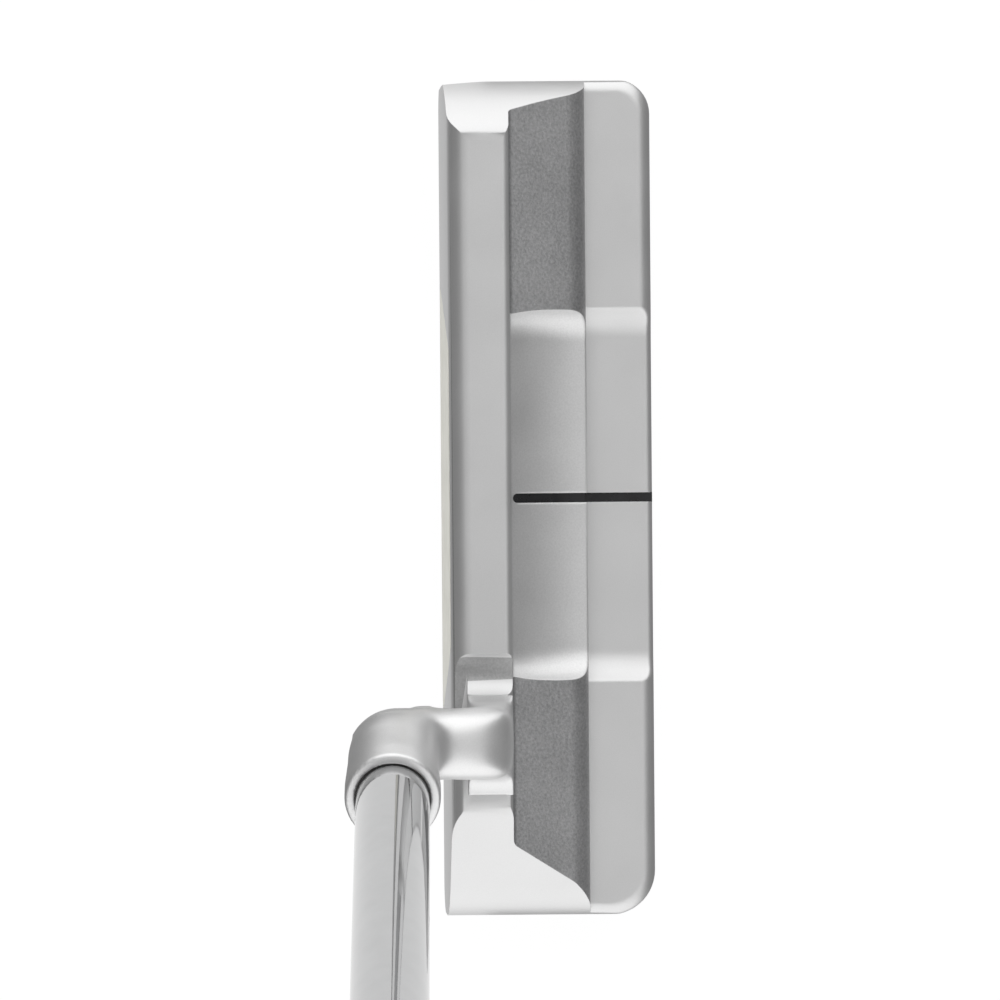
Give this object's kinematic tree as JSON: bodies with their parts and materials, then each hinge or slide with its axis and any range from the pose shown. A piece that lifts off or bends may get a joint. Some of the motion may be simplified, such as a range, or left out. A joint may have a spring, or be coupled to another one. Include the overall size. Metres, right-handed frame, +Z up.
{
  "type": "blade putter",
  "caption": "Blade putter with a wide stepped flange, pale face insert, plumber's neck, stepped steel shaft and pistol grip.",
  "frame": {"origin": "on the flat of the sole, at the middle of the head's length and width", "axes": "+Z up from the sole, -Y the way the face looks, +Y towards the flange, -X the toe, +X the heel and the golfer"},
  "size_m": [0.3852, 0.0478, 0.8153],
  "materials": {
    "head_steel": "satin milled stainless steel, coarse blasted in the cavity",
    "insert_polymer": "matte, finely milled",
    "adhesive": "cured dark resin",
    "black_paint": "satin enamel",
    "weight_steel": "turned and polished",
    "gasket_rubber": "matte",
    "shaft_chrome": "mirror",
    "plug_plastic": "matte",
    "label_foil": "gloss foil",
    "tape": "paper-backed tape",
    "grip_rubber": "moulded, finely textured",
    "cap_rubber": "moulded, smooth"
  },
  "bodies": {
    "root": {"head_body": "head_steel", "neck": "head_steel", "face_insert": "insert_polymer", "insert_adhesive": "adhesive", "sightline_paint": "black_paint", "toe_weight": "weight_steel", "heel_weight": "weight_steel", "toe_weight_gasket": "gasket_rubber", "heel_weight_gasket": "gasket_rubber", "shaft": "shaft_chrome", "shaft_epoxy": "adhesive", "tip_plug": "plug_plastic", "shaft_label": "label_foil", "grip_tape": "tape", "grip": "grip_rubber", "grip_cap": "cap_rubber"}
  },
  "joints": []
}
